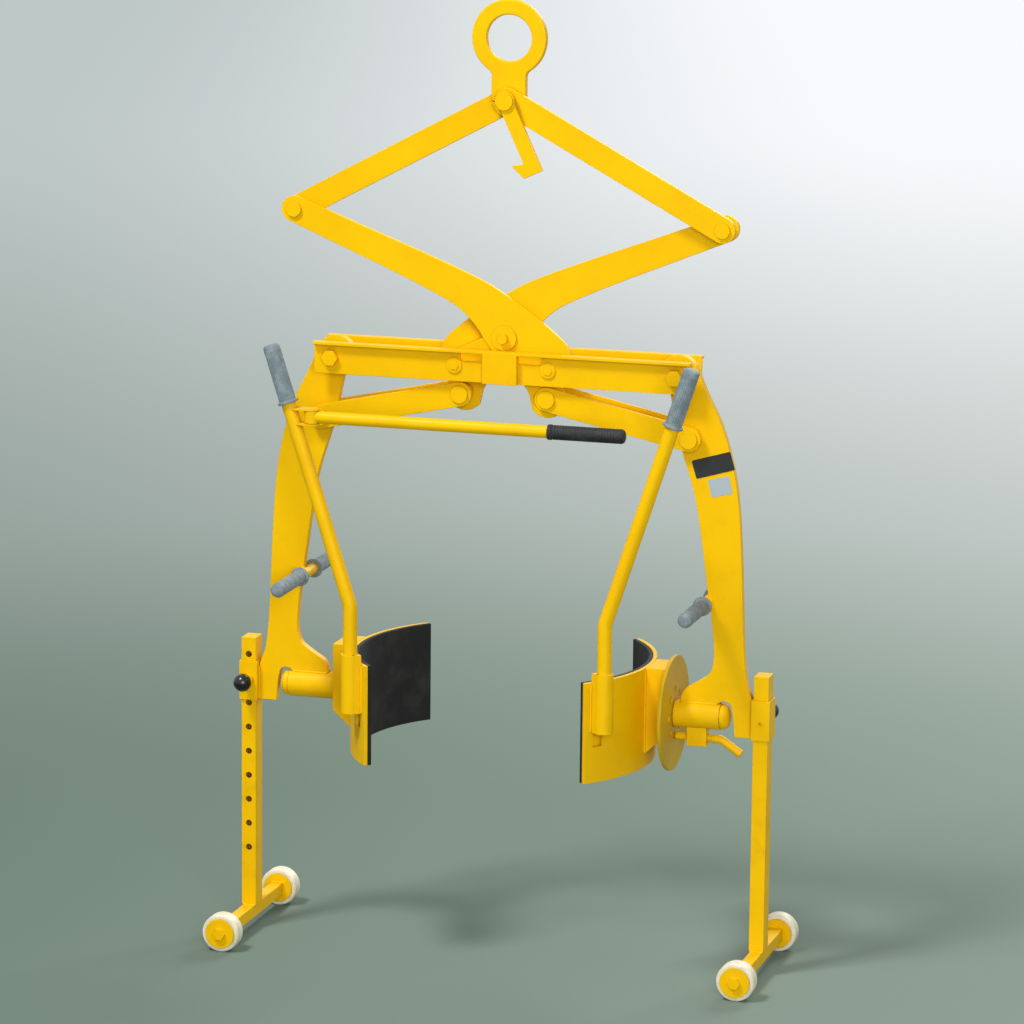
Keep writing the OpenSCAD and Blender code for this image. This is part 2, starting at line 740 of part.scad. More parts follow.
// Domed retaining nut on the outer end of the shaft
module trunnion_nut_right() {
    from_x = housing_out + slide_gap;
    color(paint) translate([from_x, 0, axis_z]) rotate([0, 90, 0]) difference() {
        rotate_extrude() polygon([[0, 0], [nut_r, 0], [nut_r, nut_t - 4], [nut_r - 5, nut_t + 2],
            [nut_r - 14, nut_t + 5], [0, nut_t + 6]]);
        translate([0, 0, -1]) cylinder(d = shaft_d, h = nut_t + 1);
    }
}

// Index disc with its ring of holes, fixed on the right trunnion
module index_disc() {
    color(paint) difference() {
        rod_x(bracket_out, disc_out, 2 * disc_r);
        rod_x(bracket_out - 1, disc_out + 1, shaft_d);
        for (i = [0 : index_holes - 1])
            translate([bracket_out - 1, 0, axis_z]) rotate([i * 360 / index_holes, 0, 0])
                translate([0, 0, -index_r]) rotate([0, 90, 0]) cylinder(d = index_d + 1, h = disc_t + 2);
    }
}

// Lever tube in a socket that is shaped to the shoe plate
module lever_rod() translate([0, -lever_y, 0]) bent_rod(lever_path, lever_d, lever_bend_r);

module lever_right() {
    around = atan2(lever_y, lever_x);
    color(paint) {
        lever_rod();
        rotate(-around) translate([0, 0, axis_z - 4]) linear_extrude(socket_h) difference() {
            hull() {
                translate([lever_r, 0]) circle(d = socket_d);
                translate([plate_in, -socket_foot_w / 2]) square([shoe_t, socket_foot_w]);
            }
            circle(r = plate_out, $fn = 192);
        }
    }
}

module lever_grip_right() {
    stop = lever_end_at + grip_end_t * lever_dir;
    color(grip_grey) translate([0, -lever_y, 0]) difference() {
        union() {
            straight_rod(lever_grip_at, stop, lever_grip_d);
            straight_rod(lever_grip_at, lever_grip_at + grip_flange_t * lever_dir, lever_flange_d);
        }
        straight_rod(lever_grip_at - lever_dir, lever_end_at, lever_d);
    }
}

// Tilt bar hinged between two ears on the inner side of the left lever
module tilt_ears() {
    for (z = [tilt_z + tilt_d / 2 + slide_gap, tilt_z - tilt_d / 2 - slide_gap - tilt_ear_t])
        translate([-tilt_hinge_x, -tilt_y, z]) linear_extrude(tilt_ear_t) hull() {
            circle(d = tilt_eye_d);
            translate([tilt_hinge_x - tilt_root, tilt_y - lever_y - tilt_d / 2]) square([1, tilt_d]);
        }
}

module tilt_hinge() {
    color(paint) difference() {
        tilt_ears();
        mirrored() translate([0, -lever_y, 0]) straight_rod(lever_bend_at, lever_end_at, lever_d);
    }
    color(steel) translate([-tilt_hinge_x, -tilt_y, tilt_z - tilt_d / 2 - slide_gap - tilt_ear_t])
        cylinder(d = tilt_pin_d, h = tilt_d + 2 * slide_gap + 2 * tilt_ear_t);
}

module tilt_bar() {
    color(paint) translate([-tilt_hinge_x, -tilt_y, tilt_z]) difference() {
        union() {
            rotate([0, 90, 0]) cylinder(d = tilt_d, h = tilt_len);
            translate([0, 0, -tilt_d / 2]) cylinder(d = tilt_eye_d, h = tilt_d);
        }
        translate([0, 0, -tilt_d]) cylinder(d = tilt_pin_d + 2 * run_fit, h = 2 * tilt_d);
    }
}

module tilt_bar_grip() {
    color(black) translate([tilt_len - tilt_hinge_x, -tilt_y, tilt_z]) rotate([0, 90, 0]) difference() {
        translate([0, 0, -tilt_grip_len]) cylinder(d = tilt_grip_d, h = tilt_grip_len + grip_end_t);
        translate([0, 0, -tilt_grip_len - 1]) cylinder(d = tilt_d, h = tilt_grip_len + 1);
    }
}

// Leg tube with its height holes on the rear face, closed at the top
module leg_right() {
    color(paint) difference() {
        translate([leg_x - leg_w / 2, -leg_d / 2, leg_foot]) cube([leg_w, leg_d, leg_len]);
        translate([leg_x - leg_w / 2 + leg_wall, leg_wall - leg_d / 2, leg_foot - 1])
            cube([leg_w - 2 * leg_wall, leg_d - 2 * leg_wall, leg_len + 1 - leg_wall]);
        for (i = [0 : leg_holes - 1])
            pin_y([leg_x, plunger_z + leg_pitch * (1 - i)], 0, leg_d, leg_hole_d);
    }
}

// Foot bar with an axle, two discs and a head for each roller
module foot_bar_right() {
    at = [leg_x, foot_z];
    inside = roller_y - roller_w / 2 - slide_gap;
    outside = roller_y + roller_w / 2 + slide_gap;
    bar_end = inside - roller_disc_t;
    color(paint) translate([leg_x - foot_s / 2, -bar_end, foot_z - foot_s / 2])
        cube([foot_s, 2 * bar_end, foot_s]);
    color(paint) for (a = [0, 1]) mirror([0, a, 0]) {
        pin_y(at, bar_end - 1, outside + 1, axle_d);
        pin_y(at, bar_end, inside, roller_disc_d);
        pin_y(at, outside, outside + roller_disc_t, roller_disc_d);
        pin_y(at, outside + roller_disc_t, outside + roller_disc_t + axle_head_t, axle_head_d, 6);
    }
}

module roller(side, end) {
    at = [side * leg_x, foot_z];
    edge = 3;
    color(nylon) translate([at[0], end * roller_y, at[1]]) rotate([90, 0, 0])
        rotate_extrude() polygon([[axle_d / 2 + run_fit, -roller_w / 2],
            [roller_d / 2 - edge, -roller_w / 2], [roller_d / 2, edge - roller_w / 2],
            [roller_d / 2, roller_w / 2 - edge], [roller_d / 2 - edge, roller_w / 2],
            [axle_d / 2 + run_fit, roller_w / 2]]);
}

// Height plunger with its knob, parked just clear of the leg
module leg_plunger_right() {
    out = sleeve_half_d + boss_len + slide_gap + plunger_travel;
    neck = plunger_d / 2 + 3;
    color(black) translate([leg_x, 0, plunger_z]) rotate([-90, 0, 0]) rotate_extrude()
        polygon([[0, plunger_tip], [plunger_d / 2, plunger_tip], [plunger_d / 2, out],
            [neck, out], [neck, out + knob_gap], [knob_d / 2 - 5, out + knob_gap + 4],
            [knob_d / 2, out + knob_gap + 10], [knob_d / 2, out + knob_gap + 18],
            [knob_d / 2 - 5, out + knob_gap + 25], [knob_d / 4, out + knob_gap + 28],
            [0, out + knob_gap + 29]]);
}

lifting_eye();
eye_pin();
turned() upper_link_right();  // upper_link_left
upper_link_right();
turned() outer_pin_right();  // outer_pin_left
outer_pin_right();
scissor_arm_left();
turned() scissor_arm_left();  // scissor_arm_right
beam_angle_front();
turned() beam_angle_front();  // beam_angle_rear
hanger_plate();
centre_pivot_bolt();
tie_bolts();
arm_pivot_bolts();
arm_pivot_spacers();
mirrored() side_arm_right();  // side_arm_left
side_arm_right();
mirrored() bearing_housing_right();  // bearing_housing_left
bearing_housing_right();
mirrored() trunnion_bush_right();  // trunnion_bush_left
trunnion_bush_right();
turned() leg_sleeve_right();  // leg_sleeve_left
leg_sleeve_right();
mirrored() handlebar_right();  // handlebar_left
handlebar_right();
mirrored() handlebar_grips_right();  // handlebar_grips_left
handlebar_grips_right();
index_guide();
mirrored() lower_link_right();  // lower_link_left
lower_link_right();
turned() lower_link_pins_right();  // lower_link_pins_left
lower_link_pins_right();
mirrored() shoe_plate_right();  // shoe_plate_left
shoe_plate_right();
mirrored() shoe_pad_right();  // shoe_pad_left
shoe_pad_right();
trunnion_left();
trunnion_right();
mirrored() trunnion_nut_right();  // trunnion_nut_left
trunnion_nut_right();
mirrored() lever_right();  // lever_left
lever_right();
mirrored() lever_grip_right();  // lever_grip_left
lever_grip_right();
index_disc();
tilt_hinge();
tilt_bar();
tilt_bar_grip();
latch_hook();
index_plunger();
turned() leg_right();  // leg_left
leg_right();
turned() foot_bar_right();  // foot_bar_left
foot_bar_right();
turned() leg_plunger_right();  // leg_plunger_left
leg_plunger_right();
roller(-1, -1);  // roller_left_front
roller(-1, 1);  // roller_left_rear
roller(1, -1);  // roller_right_front
roller(1, 1);  // roller_right_rear
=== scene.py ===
"""Looks of the drum lifter: enamel, rubber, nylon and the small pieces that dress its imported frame."""

import json
import math

import bpy
from mathutils import Matrix, Vector


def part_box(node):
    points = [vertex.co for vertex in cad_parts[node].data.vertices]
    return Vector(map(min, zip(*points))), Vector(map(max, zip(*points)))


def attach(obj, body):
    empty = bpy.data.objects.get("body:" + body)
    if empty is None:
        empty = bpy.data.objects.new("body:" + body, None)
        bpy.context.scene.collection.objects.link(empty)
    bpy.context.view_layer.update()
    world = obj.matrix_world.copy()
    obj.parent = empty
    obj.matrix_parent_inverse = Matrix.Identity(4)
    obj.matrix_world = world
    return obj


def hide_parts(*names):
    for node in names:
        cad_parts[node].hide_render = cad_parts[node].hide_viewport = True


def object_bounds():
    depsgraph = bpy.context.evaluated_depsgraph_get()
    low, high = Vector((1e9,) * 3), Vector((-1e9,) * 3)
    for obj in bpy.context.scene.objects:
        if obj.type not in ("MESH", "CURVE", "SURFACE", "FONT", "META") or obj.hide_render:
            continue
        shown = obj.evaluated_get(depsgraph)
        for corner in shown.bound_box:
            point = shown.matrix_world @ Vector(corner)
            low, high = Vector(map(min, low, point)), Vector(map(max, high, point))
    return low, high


MM = 0.001
UP = Vector((0, 0, 1))
RIGHT = Vector((1, 0, 0))
REAR = Vector((0, 1, 0))
SIDES = {"left": -1, "right": 1}

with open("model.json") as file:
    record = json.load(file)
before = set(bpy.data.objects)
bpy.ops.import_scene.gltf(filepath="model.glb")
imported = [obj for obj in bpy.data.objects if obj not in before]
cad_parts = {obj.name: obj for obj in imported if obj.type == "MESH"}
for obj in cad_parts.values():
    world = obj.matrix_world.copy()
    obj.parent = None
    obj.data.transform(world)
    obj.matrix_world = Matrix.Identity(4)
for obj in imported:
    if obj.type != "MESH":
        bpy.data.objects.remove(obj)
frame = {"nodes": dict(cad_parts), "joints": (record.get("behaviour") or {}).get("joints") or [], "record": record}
cad_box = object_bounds()
nodes = frame["nodes"]
joints = {joint["name"]: joint for joint in frame["joints"]}
body_of = {node: body for body, held in frame["record"]["behaviour"]["bodies"].items() for node in held}
slot_of = {part["node"]: part["material_slot"] for part in frame["record"]["subparts"]}


def low(node):
    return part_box(node)[0]


def high(node):
    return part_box(node)[1]


def middle(node):
    return (low(node) + high(node)) / 2


# Sizes that the frame doesn't give by itself
AXIS_Z = joints["shoe_right_turn"]["pos_m"][2]
SHOE_R = high("shoe_plate_right").x
SHOE_T = 8 * MM
LEVER_D = 28 * MM
LEVER_STAND = 3 * MM
LEVER_BEND_RISE = 210 * MM
LEVER_BEND_R = 60 * MM
LEVER_Y = middle("lever_grip_right").y
LEVER_X = math.sqrt((SHOE_R + LEVER_STAND + LEVER_D / 2) ** 2 - LEVER_Y ** 2)
LEVER_AROUND = math.atan2(-LEVER_Y, LEVER_X)
LEVER_TOP_X = 385 * MM
LEVER_TOP_RISE = 604 * MM
LEVER_GRIP_R = 16.5 * MM
LEVER_GRIP_LEN = 119 * MM
LEVER_FLANGE_R = 20.5 * MM
LEVER_IN_GRIP = 110 * MM
BAR_GRIP_R = 14.5 * MM
BAR_GRIP_LEN = 142 * MM
BAR_FLANGE_R = 19 * MM
SOCKET_R = 18 * MM
SOCKET_H = 118 * MM
SOCKET_DROP = 4 * MM
SOCKET_WELD_TOP = 93 * MM
STRIP_DROP = 21 * MM
STRIP_H = 30 * MM
STRIP_W = 30 * MM
STRIP_T = 1.5 * MM
BRACKET_HALF = 42 * MM
BRACKET_FOOT = 75 * MM
TILT_D = 24 * MM
TILT_EYE_R = 15 * MM
TILT_BORE_R = 5.05 * MM
PLATE_Y = high("side_arm_right").y
HOUSING_R = (high("bearing_housing_right").z - low("bearing_housing_right").z) / 2
WELD_R = 3.2 * MM
TIE_HEAD_R = 10.2 * MM
FLANGE_OUT = 12 * MM
WASHER_R = 16 * MM
WASHER_BORE_R = 5 * MM
WASHER_T = 3 * MM
WASHER_SEAT = 1 * MM
INDEX_PIN_R = 7 * MM
INDEX_PIN_RISE = 15 * MM
INDEX_COLLAR_GAP = 9 * MM
INDEX_COLLAR_R = 9 * MM
INDEX_COLLAR_T = 4 * MM
INDEX_ELBOW = 26 * MM
INDEX_HANDLE_R = 8.5 * MM
INDEX_BEND_R = 18 * MM
LEG_X = middle("leg_right").x
LEG_HALF_D = high("leg_right").y
LEG_HOLE_R = 9 * MM
SHARP_ANGLE = 35


# Shader sheets
class Field:
    """One socket of a material, with operators that add the Math nodes they stand for."""

    def __init__(self, sheet, socket):
        self.sheet = sheet
        self.socket = socket

    def math(self, operation, first, second):
        return self.sheet.add("ShaderNodeMath", {"operation": operation}, {0: first, 1: second})

    def __add__(self, other):
        return self.math("ADD", self, other)

    __radd__ = __add__

    def __sub__(self, other):
        return self.math("SUBTRACT", self, other)

    def __rsub__(self, other):
        return self.math("SUBTRACT", other, self)

    def __mul__(self, other):
        return self.math("MULTIPLY", self, other)

    __rmul__ = __mul__

    def size(self):
        return self.math("ABSOLUTE", self, 0)

    def step(self, start, end):
        """0 below start, 1 above end, and smooth between them."""
        settings = {"interpolation_type": "SMOOTHSTEP"}
        return self.sheet.add("ShaderNodeMapRange", settings, {0: self, 1: start, 2: end})


def socket_name(word):
    """Name of a shader socket from a plain word."""
    return word.replace("_", " ").title().replace("Ior", "IOR")


class Sheet:
    """The nodes of one material or world."""

    def __init__(self, name, world=None, **constants):
        self.owner = world or bpy.data.materials.new(name)
        self.owner.use_nodes = True
        self.tree = self.owner.node_tree
        self.shader = self.tree.nodes["Background" if world else "Principled BSDF"]
        for socket, value in constants.items():
            self.shader.inputs[socket_name(socket)].default_value = value

    def add(self, kind, settings=None, sockets=None, out=0):
        node = self.tree.nodes.new(kind)
        for name, value in (settings or {}).items():
            setattr(node, name, value)
        for name, value in (sockets or {}).items():
            self.feed(node.inputs[name], value)
        return Field(self, node.outputs[out])

    def feed(self, socket, value):
        if isinstance(value, Field):
            self.tree.links.new(value.socket, socket)
        else:
            socket.default_value = value

    def set(self, **sockets):
        for name, value in sockets.items():
            self.feed(self.shader.inputs[socket_name(name)], value)
        return self.owner

    def place(self, stretch=(1, 1, 1)):
        at = self.add("ShaderNodeTexCoord", out="Object")
        if stretch == (1, 1, 1):
            return at
        return self.add("ShaderNodeMapping", sockets={"Vector": at, "Scale": stretch})

    def noise(self, at, scale, detail=2.0, roughness=0.5):
        sockets = {"Vector": at, "Scale": scale, "Detail": detail, "Roughness": roughness}
        return self.add("ShaderNodeTexNoise", sockets=sockets)

    def mix(self, mask, first, second):
        settings = {"data_type": "RGBA"}
        return self.add("ShaderNodeMix", settings, {0: mask, 6: first, 7: second}, out=2)

    def parts(self, vector):
        """The X, Y and Z of a vector."""
        return [self.add("ShaderNodeSeparateXYZ", sockets={0: vector}, out=axis) for axis in "XYZ"]

    def bump(self, height, strength, distance):
        sockets = {"Height": height, "Strength": strength, "Distance": distance}
        return self.add("ShaderNodeBump", sockets=sockets)

    def seen(self):
        """1 for rays that show a thing itself, from the camera, in a mirror or through glass."""
        kinds = ("Is Camera Ray", "Is Glossy Ray", "Is Transmission Ray")
        camera_ray, glossy_ray, clear_ray = [self.add("ShaderNodeLightPath", out=kind) for kind in kinds]
        return camera_ray + glossy_ray + clear_ray

    def edges(self, radius):
        """0 on flat faces and up to about 0.5 along sharp edges."""
        rounded = self.add("ShaderNodeBevel", {"samples": 4}, {"Radius": radius})
        straight = self.add("ShaderNodeNewGeometry", out="Normal")
        along = self.add("ShaderNodeVectorMath", {"operation": "DOT_PRODUCT"},
                         {0: rounded, 1: straight}, out="Value")
        return 1 - along


def colour(red, green, blue):
    """Linear colour of an 8-bit screen colour."""
    parts = [value / 255 for value in (red, green, blue)]
    return (*[p / 12.92 if p < 0.04045 else ((p + 0.055) / 1.055) ** 2.4 for p in parts], 1.0)


def within(field, centre, half):
    """1 where a field is nearer to a centre than a half width."""
    return 1 - (field - centre).size().step(half, half + 0.1 * MM)


BLACK = (0.0, 0.0, 0.0, 1.0)
PALE_AIR = colour(249, 250, 253)
DIM_AIR = colour(158, 161, 161)


def enamel(name, dust=0.22, hollow=None, tones=(colour(246, 193, 0), colour(241, 186, 0))):
    """Sprayed yellow enamel with a little orange peel, drifting tone, handling marks and chipped edges.

    Dust dulls it, and its corners and the gaps between parts are painted browner as painted shade, mixed with
    clouds of grime. Inside a hollow it is painted near black as painted shade; the hollow is given as the half
    width, half depth, lowest and highest level of a box about the middle of each leg.
    """
    sheet = Sheet(name, specular_ior_level=0.14)
    at = sheet.place()
    drift = sheet.noise(at, 5.0, 3.0)
    cloud = sheet.noise(at, 24.0, 4.0, 0.6)
    speck = sheet.noise(at, 420.0, 2.0)
    peel = sheet.noise(at, 620.0, 1.0)
    rubbed = sheet.noise(at, 90.0, 5.0, 0.7)
    edge = sheet.edges(2.0 * MM)
    # Ambient occlusion turns corners and gaps between parts browner as painted shade, mixed with clouds of grime
    corner_shade = 1 - sheet.add("ShaderNodeAmbientOcclusion", {"samples": 6}, {"Distance": 14 * MM}, out="AO")
    tone = sheet.mix(drift.step(0.35, 0.7), *tones)
    dusty = sheet.mix(cloud.step(0.45, 0.8) * dust, tone, colour(214, 162, 4))
    dotted = sheet.mix(speck.step(0.74, 0.8) * 0.5, dusty, colour(170, 128, 8))
    shade_and_grime = sheet.mix((corner_shade * 1.3 + cloud * 0.4 - 0.2).step(0.35, 0.95) * 0.6, dotted, colour(150, 98, 14))
    worn = (edge * 1.6 + rubbed - 0.35).step(0.6, 0.74) * edge.step(0.06, 0.16)
    shown = sheet.mix(worn * 0.8, shade_and_grime, colour(116, 92, 54))
    # Inside the hollow of each leg the enamel is painted near black as painted shade
    if hollow:
        half_w, half_d, lowest, highest = hollow
        x, y, z = sheet.parts(at)
        inside = within(x.size(), LEG_X, half_w) * within(y, 0, half_d)
        inside = inside * within(z, (lowest + highest) / 2, (highest - lowest) / 2)
        shown = sheet.mix(inside, shown, colour(10, 8, 5))
    gloss = 0.36 + 0.14 * cloud + 0.2 * worn
    height = peel * 0.5 - worn * 1.2
    return sheet.set(base_color=shown, roughness=gloss, normal=sheet.bump(height, 0.12, 0.4 * MM))


def grip_rubber(name, plain, dull):
    """Moulded rubber that is dulled by dust where hands don't rub it."""
    sheet = Sheet(name, specular_ior_level=0.35)
    at = sheet.place()
    cloud = sheet.noise(at, 55.0, 4.0, 0.6)
    grain = sheet.noise(at, 1500.0, 1.0)
    edge = sheet.edges(1.2 * MM)
    base = sheet.mix(cloud.step(0.4, 0.7), plain, dull)
    shown = sheet.mix(edge.step(0.05, 0.4) * 0.35, base, dull)
    return sheet.set(base_color=shown, roughness=0.52 + 0.2 * cloud,
                     normal=sheet.bump(grain, 0.25, 0.2 * MM))


def pad_rubber(name):
    """Matte black rubber sheet with a fine cloth grain."""
    sheet = Sheet(name, specular_ior_level=0.3)
    at = sheet.place()
    cloud = sheet.noise(at, 20.0, 4.0, 0.6)
    grain = sheet.noise(at, 900.0, 2.0)
    base = sheet.mix(cloud.step(0.4, 0.75), colour(22, 22, 22), colour(46, 45, 42))
    return sheet.set(base_color=base, roughness=0.68 + 0.18 * cloud,
                     normal=sheet.bump(grain, 0.4, 0.3 * MM))


def knob_plastic(name):
    """Glossy black moulded plastic with faint scuffs."""
    sheet = Sheet(name)
    at = sheet.place()
    scuff = sheet.noise(at, 140.0, 5.0, 0.7)
    base = sheet.mix(scuff.step(0.6, 0.75) * 0.4, colour(14, 14, 15), colour(52, 52, 54))
    return sheet.set(base_color=base, roughness=0.22 + 0.3 * scuff.step(0.5, 0.75))


def roller_nylon(name):
    """Cream nylon with rolled-in floor dirt."""
    sheet = Sheet(name, specular_ior_level=0.45)
    at = sheet.place()
    cloud = sheet.noise(at, 45.0, 4.0, 0.6)
    scratch = sheet.noise(sheet.place((60, 900, 60)), 1.0, 3.0, 0.6)
    base = sheet.mix(cloud.step(0.35, 0.7), colour(238, 232, 210), colour(222, 212, 182))
    dirty = sheet.mix(scratch.step(0.6, 0.78) * 0.4, base, colour(150, 138, 108))
    return sheet.set(base_color=dirty, roughness=0.36 + 0.25 * cloud,
                     normal=sheet.bump(scratch, 0.15, 0.3 * MM))


def machined_metal(name, bright, dull):
    """Turned metal with a thin film of old grease."""
    sheet = Sheet(name, metallic=1.0)
    at = sheet.place()
    cloud = sheet.noise(at, 70.0, 4.0, 0.6)
    turned = sheet.noise(sheet.place((900, 40, 900)), 1.0, 2.0)
    base = sheet.mix(cloud.step(0.4, 0.75), bright, dull)
    return sheet.set(base_color=base, roughness=0.28 + 0.25 * cloud,
                     normal=sheet.bump(turned, 0.1, 0.2 * MM))


def plate_finish(name, base, worn):
    """Thin printed plate without any print, rubbed at its edges."""
    sheet = Sheet(name)
    at = sheet.place()
    rubbed = sheet.noise(at, 180.0, 5.0, 0.7)
    edge = sheet.edges(1.5 * MM)
    shown = sheet.mix((rubbed + edge).step(0.6, 0.8) * 0.5, base, worn)
    return sheet.set(base_color=shown, roughness=0.35 + 0.2 * rubbed)


finishes = {
    "yellow_paint": enamel("yellow_enamel"),
    "steel": machined_metal("plated_steel", colour(176, 178, 180), colour(120, 118, 112)),
    "bronze": machined_metal("bush_bronze", colour(196, 150, 84), colour(140, 100, 52)),
    "grey_grip": grip_rubber("grey_grip_rubber", colour(112, 126, 132), colour(136, 148, 152)),
    "black_grip": grip_rubber("black_grip_rubber", colour(24, 24, 25), colour(48, 48, 48)),
    "rubber_pad": pad_rubber("pad_rubber"),
    "black_knob": knob_plastic("black_knob_plastic"),
    "nylon": roller_nylon("cream_nylon"),
}
# Box about the leg holes, inside which the leg enamel is painted near black as painted shade
leg_hole_shade_box = (LEG_HOLE_R, LEG_HALF_D - 1.2 * MM, low("leg_right").z + 60 * MM, high("leg_right").z - 6 * MM)
leg_paint_and_hole_shade = enamel("leg_enamel", 0.6, leg_hole_shade_box)
# The index disc gets darker, duller tones of the yellow enamel as painted shade, and more dust
disc_paint_shade = enamel("disc_enamel", 0.6, tones=(colour(202, 166, 26), colour(192, 156, 22)))
own_finishes = {"leg_left": leg_paint_and_hole_shade, "leg_right": leg_paint_and_hole_shade, "index_disc": disc_paint_shade}
dark_plate = plate_finish("dark_plate", colour(30, 33, 34), colour(96, 102, 104))
pale_plate = plate_finish("pale_plate", colour(168, 182, 188), colour(132, 142, 146))


# Modelling by hand
def clear_selection():
    bpy.ops.object.select_all(action="DESELECT")


def only(piece):
    clear_selection()
    piece.select_set(True)
    bpy.context.view_layer.objects.active = piece


def named(name):
    piece = bpy.context.active_object
    piece.name = name
    piece.data.name = name
    return piece


def start_edit(piece, mode="VERT"):
    only(piece)
    bpy.ops.object.mode_set(mode="EDIT")
    bpy.ops.mesh.select_mode(type=mode)


def end_edit():
    bpy.ops.object.mode_set(mode="OBJECT")


def select_faces(piece, chosen):
    """Leaves edit mode open with just the faces that the test chooses."""
    start_edit(piece, "FACE")
    bpy.ops.mesh.select_all(action="DESELECT")
    end_edit()
    for face in piece.data.polygons:
        face.select = chosen(face)
    start_edit(piece, "FACE")


def close_up(piece, gap=0.02 * MM):
    """Merges doubled points and turns every face outwards."""
    start_edit(piece)
    bpy.ops.mesh.select_all(action="SELECT")
    bpy.ops.mesh.remove_doubles(threshold=gap)
    bpy.ops.mesh.normals_make_consistent(inside=False)
    end_edit()


def apply_all(piece):
    only(piece)
    for modifier in list(piece.modifiers):
        bpy.ops.object.modifier_apply(modifier=modifier.name)


def soften(piece, width, segments=2, angle=SHARP_ANGLE):
    """Rounds the edges that are sharper than an angle in degrees."""
    bevel = piece.modifiers.new("soft_edges", "BEVEL")
    bevel.width = width
    bevel.segments = segments
    bevel.limit_method = "ANGLE"
    bevel.angle_limit = math.radians(angle)
    bevel.use_clamp_overlap = False
    apply_all(piece)
    return piece


def settle(piece, at=(0, 0, 0), along=UP):
    """Turns +Z of a new piece to a direction, moves it to its place and applies both to its mesh."""
    turn = UP.rotation_difference(Vector(along)).to_matrix().to_4x4()
    piece.matrix_world = Matrix.Translation(at) @ turn @ piece.matrix_world
    only(piece)
    bpy.ops.object.transform_apply(location=True, rotation=True, scale=True)
    return piece


def lathe(name, profile, steps=48):
    """Turned piece about +Z, from a half profile of (radius, height) points."""
    clear_selection()
    bpy.ops.mesh.primitive_plane_add(size=MM, location=(0, 0, 0))
    piece = named(name)
    start_edit(piece)
    bpy.ops.mesh.select_all(action="SELECT")
    bpy.ops.mesh.merge(type="CENTER")
    bpy.ops.transform.translate(value=(profile[0][0], 0, profile[0][1]))
    for (r0, z0), (r1, z1) in zip(profile, profile[1:]):
        bpy.ops.mesh.extrude_vertices_move(TRANSFORM_OT_translate={"value": (r1 - r0, 0, z1 - z0)})
    bpy.ops.mesh.select_all(action="SELECT")
    bpy.ops.mesh.spin(steps=steps, angle=2 * math.pi, center=(0, 0, 0), axis=(0, 0, 1))
    end_edit()
    close_up(piece)
    return piece


def bent_tube(name, start, corner, end, radius, bend_r, sides=32):
    """Round tube from start to end with one bend: extruded, spun round the bend and extruded again."""
    before = (corner - start).normalized()
    after = (end - corner).normalized()
    turn = before.angle(after)
    axis = before.cross(after).normalized()
    back = bend_r * math.tan(turn / 2)
    bend_from = corner - before * back
    bend_to = corner + after * back
    centre = bend_from + axis.cross(before) * bend_r
    clear_selection()
    bpy.ops.mesh.primitive_circle_add(vertices=sides, radius=radius, fill_type="NGON")
    piece = settle(named(name), start, before)
    start_edit(piece, "FACE")
    bpy.ops.mesh.select_all(action="SELECT")
    bpy.ops.mesh.extrude_region_move(TRANSFORM_OT_translate={"value": bend_from - start})
    bpy.ops.mesh.spin(steps=10, angle=-turn, center=centre, axis=axis)
    bpy.ops.mesh.extrude_region_move(TRANSFORM_OT_translate={"value": end - bend_to})
    end_edit()
    close_up(piece)
    return piece


def block(name, centre, size, turn=0.0):
    """Box at a place, turned about Z in radians."""
    clear_selection()
    bpy.ops.mesh.primitive_cube_add(size=1, location=centre, rotation=(0, 0, turn), scale=size)
    piece = named(name)
    only(piece)
    bpy.ops.object.transform_apply(location=True, rotation=True, scale=True)
    return piece


def joined(name, *pieces):
    """One piece made of several."""
    clear_selection()
    for piece in pieces:
        piece.select_set(True)
    bpy.context.view_layer.objects.active = pieces[0]
    bpy.ops.object.join()
    return named(name)


def mirrored(piece, name):
    """A copy behind the middle plane of a piece in front of it, with its own mesh."""
    only(piece)
    bpy.ops.object.duplicate()
    twin = named(name)
    twin.scale = (1, -1, 1)
    bpy.ops.object.transform_apply(location=True, rotation=True, scale=True)
    start_edit(twin)
    bpy.ops.mesh.select_all(action="SELECT")
    bpy.ops.mesh.normals_make_consistent(inside=False)
    end_edit()
    return twin


def dress(piece, body, slot, finish=None, instead_of=()):
    """Gives a finished piece its finish and its body, and hides the nodes that it stands for."""
    only(piece)
    bpy.ops.object.shade_smooth_by_angle(angle=math.radians(SHARP_ANGLE))
    even = piece.modifiers.new("flat_faces", "WEIGHTED_NORMAL")
    even.keep_sharp = True
    apply_all(piece)
    piece.data.materials.clear()
    piece.data.materials.append(finish or finishes[slot])
    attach(piece, body)
    if instead_of:
        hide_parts(*instead_of)


# Plates, tubes and pins keep the frame's shape and get rounded edges
def rounded_node(node, width, finish=None):
    """Copy of a node with merged triangles and rounded edges, which stands for it."""
    source = nodes[node]
    piece = source.copy()
    piece.data = source.data.copy()
    piece.name = node + "_finish"
    piece.data.name = piece.name
    for key in list(piece.keys()):
        del piece[key]
    piece.parent = None
    bpy.context.scene.collection.objects.link(piece)
    only(piece)
    bpy.ops.mesh.customdata_custom_splitnormals_clear()
    close_up(piece, 0.002 * MM)
    start_edit(piece)
    bpy.ops.mesh.select_all(action="SELECT")
    bpy.ops.mesh.dissolve_limited(angle_limit=math.radians(0.4))
    end_edit()
    soften(piece, width)
    dress(piece, body_of[node], slot_of[node], finish, instead_of=[node])


